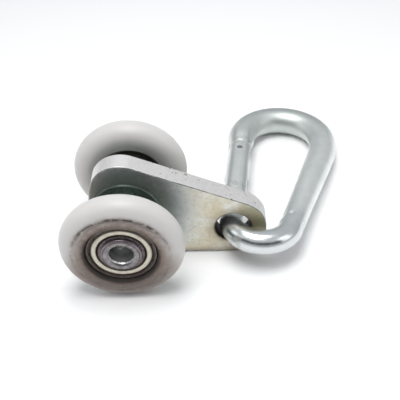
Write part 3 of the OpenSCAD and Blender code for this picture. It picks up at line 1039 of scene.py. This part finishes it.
def gate_stations():
    """Stations of the gate's bar a millimetre apart, with a rounded edge at the far end."""
    start = GATE_HINGE - GATE_HINGE_R - MM
    edge_start = GATE_END - GATE_EDGE
    count = round((edge_start - start) / MM)
    stations = [(start + (edge_start - start) * i / count, GATE_R) for i in range(count + 1)]
    for i in range(1, GATE_EDGE_STEPS + 1):
        a = math.pi / 2 * i / GATE_EDGE_STEPS
        stations.append((edge_start + GATE_EDGE * math.sin(a), GATE_R - GATE_EDGE * (1 - math.cos(a))))
    return stations


def gate_tools(reach):
    """Solids to take out of the gate: both slots, the pin holes and the spring's bore."""
    tools = []
    for (width, station), far in ((HINGE_SLOT, 0.0), (NOSE_SLOT, GATE_END + MM)):
        low, high = sorted((station, far))
        corners = [(-reach, low), (reach, low), (reach, high), (-reach, high)]
        tools.append(upright_prism("slot", corners, -width / 2, width / 2))
    for station, radius in PIN_HOLES:
        outline = circle_points(station, radius, 0, 2 * math.pi, PIN_HOLE_SIDES)[:-1]
        tools.append(upright_prism("pin_hole", outline, -reach, reach))
    bore_start = HINGE_SLOT[1] - MM
    bore = [(bore_start, SPRING_BORE_R), (SPRING_BORE_END, SPRING_BORE_R)]
    tools.append(swept_rod("spring_bore", bore, SPRING_BORE_SIDES))
    return tools


def build_gate():
    """Gate bar: round, slotted at both ends, bored for its spring and cross-drilled for its pins."""
    reach = 2 * GATE_R
    bar = swept_rod("gate_bar", gate_stations())
    side = circle_points(GATE_HINGE, GATE_HINGE_R, math.pi, 2 * math.pi, GATE_HINGE_STEPS)
    outline = side + [(GATE_HINGE_R, GATE_END + MM), (-GATE_HINGE_R, GATE_END + MM)]
    cut(bar, [upright_prism("gate_outline", outline, -reach, reach)], "INTERSECT")
    cut(bar, gate_tools(reach), "DIFFERENCE")
    mesh = welded(bar.data)
    bpy.data.objects.remove(bar)
    piece = new_piece("gate_bar", mesh, "gate", "hook_zinc", "gate")
    piece.data.set_sharp_from_angle(angle=SHARP)


def build_hook():
    """Hook body from a smooth wire and its two flat tongues."""
    new_piece("hook_wire", hook_wire(), "hook", "hook_zinc", "hook_body")
    tongue = linked("hook_tongues", tongues())
    dress(tongue.data, "hook_zinc")
    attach(tongue, "hook")


def soften_frame():
    """Rounds the edges of the pieces whose edges show."""
    softened("hanger_plate", PLATE_EDGE)
    for kind, width in PAIR_EDGES.items():
        for end in ("front", "rear"):
            softened(kind + "_" + end, width)


build_tyres()
build_axle()
build_hook()
build_gate()
soften_frame()


# ---------- stage ----------

def ramp(tree, value, low, high, at_low, at_high):
    """Smooth ramp of a value between two levels."""
    node = tree.nodes.new("ShaderNodeMapRange")
    node.interpolation_type = "SMOOTHSTEP"
    tree.links.new(value, node.inputs["Value"])
    node.inputs["From Min"].default_value = low
    node.inputs["From Max"].default_value = high
    node.inputs["To Min"].default_value = at_low
    node.inputs["To Max"].default_value = at_high
    return node.outputs["Result"]


def product(tree, a, b):
    """Product of two outputs."""
    node = tree.nodes.new("ShaderNodeMath")
    node.operation = "MULTIPLY"
    tree.links.new(a, node.inputs[0])
    tree.links.new(b, node.inputs[1])
    return node.outputs["Value"]


def add_floor():
    """Plain pale floor just below the part."""
    bpy.ops.mesh.primitive_plane_add(size=FLOOR_SIZE, location=(0, 0, cad_box[0][2] - FLOOR_GAP))
    floor = bpy.context.object
    floor.name = "floor"
    material = Graph("pale_floor").finish(FLOOR_COLOR, 0.75)
    floor.data.materials.append(material)


def surround():
    """Even pale surround with a dim band, left by the unlit room behind the camera."""
    world = bpy.data.worlds.new("surround")
    bpy.context.scene.world = world
    world.use_nodes = True
    tree = world.node_tree
    coords = tree.nodes.new("ShaderNodeTexCoord")
    split = tree.nodes.new("ShaderNodeSeparateXYZ")
    tree.links.new(coords.outputs["Generated"], split.inputs[0])
    _, y, z = split.outputs
    rise = ramp(tree, z, 0.0, SKY_HEIGHT, SKY_RIM, SKY_TOP)
    across_band = ramp(tree, y, BAND_FRONT, BAND_SIDE, 1.0, 0.0)
    below = ramp(tree, z, BAND_LOW - BAND_SOFT, BAND_LOW, 0.0, 1.0)
    above = ramp(tree, z, BAND_HIGH, BAND_HIGH + BAND_SOFT, 1.0, 0.0)
    band = product(tree, product(tree, below, above), across_band)
    strength = product(tree, rise, ramp(tree, band, 0.0, 1.0, 1.0, BAND_DIM))
    background = tree.nodes["Background"]
    background.inputs["Color"].default_value = SKY_COLOR
    tree.links.new(strength, background.inputs["Strength"])


def panel(name, place, aim, size, power):
    """Soft rectangular light aimed at a point."""
    data = bpy.data.lights.new(name, "AREA")
    data.shape = "RECTANGLE"
    data.size, data.size_y = size
    data.energy = power
    light = linked(name, data)
    light.location = place
    light.rotation_euler = (Vector(aim) - Vector(place)).to_track_quat("-Z", "Y").to_euler()


def camera():
    """Camera at the height and angle of a hand-held product photograph."""
    data = bpy.data.cameras.new("camera")
    data.lens = LENS
    data.sensor_width = SENSOR
    data.clip_start = NEAREST
    view = linked("camera", data)
    aim = Matrix.Rotation(CAMERA_TURN, 4, "Z") @ Matrix.Rotation(math.pi / 2 - CAMERA_HEIGHT, 4, "X")
    view.matrix_world = Matrix.Translation(CAMERA_PLACE) @ aim @ Matrix.Rotation(CAMERA_ROLL, 4, "Z")
    bpy.context.scene.camera = view


add_floor()
surround()
for panel_values in PANELS:
    panel(*panel_values)
camera()
bpy.context.scene.view_settings.view_transform = "Standard"
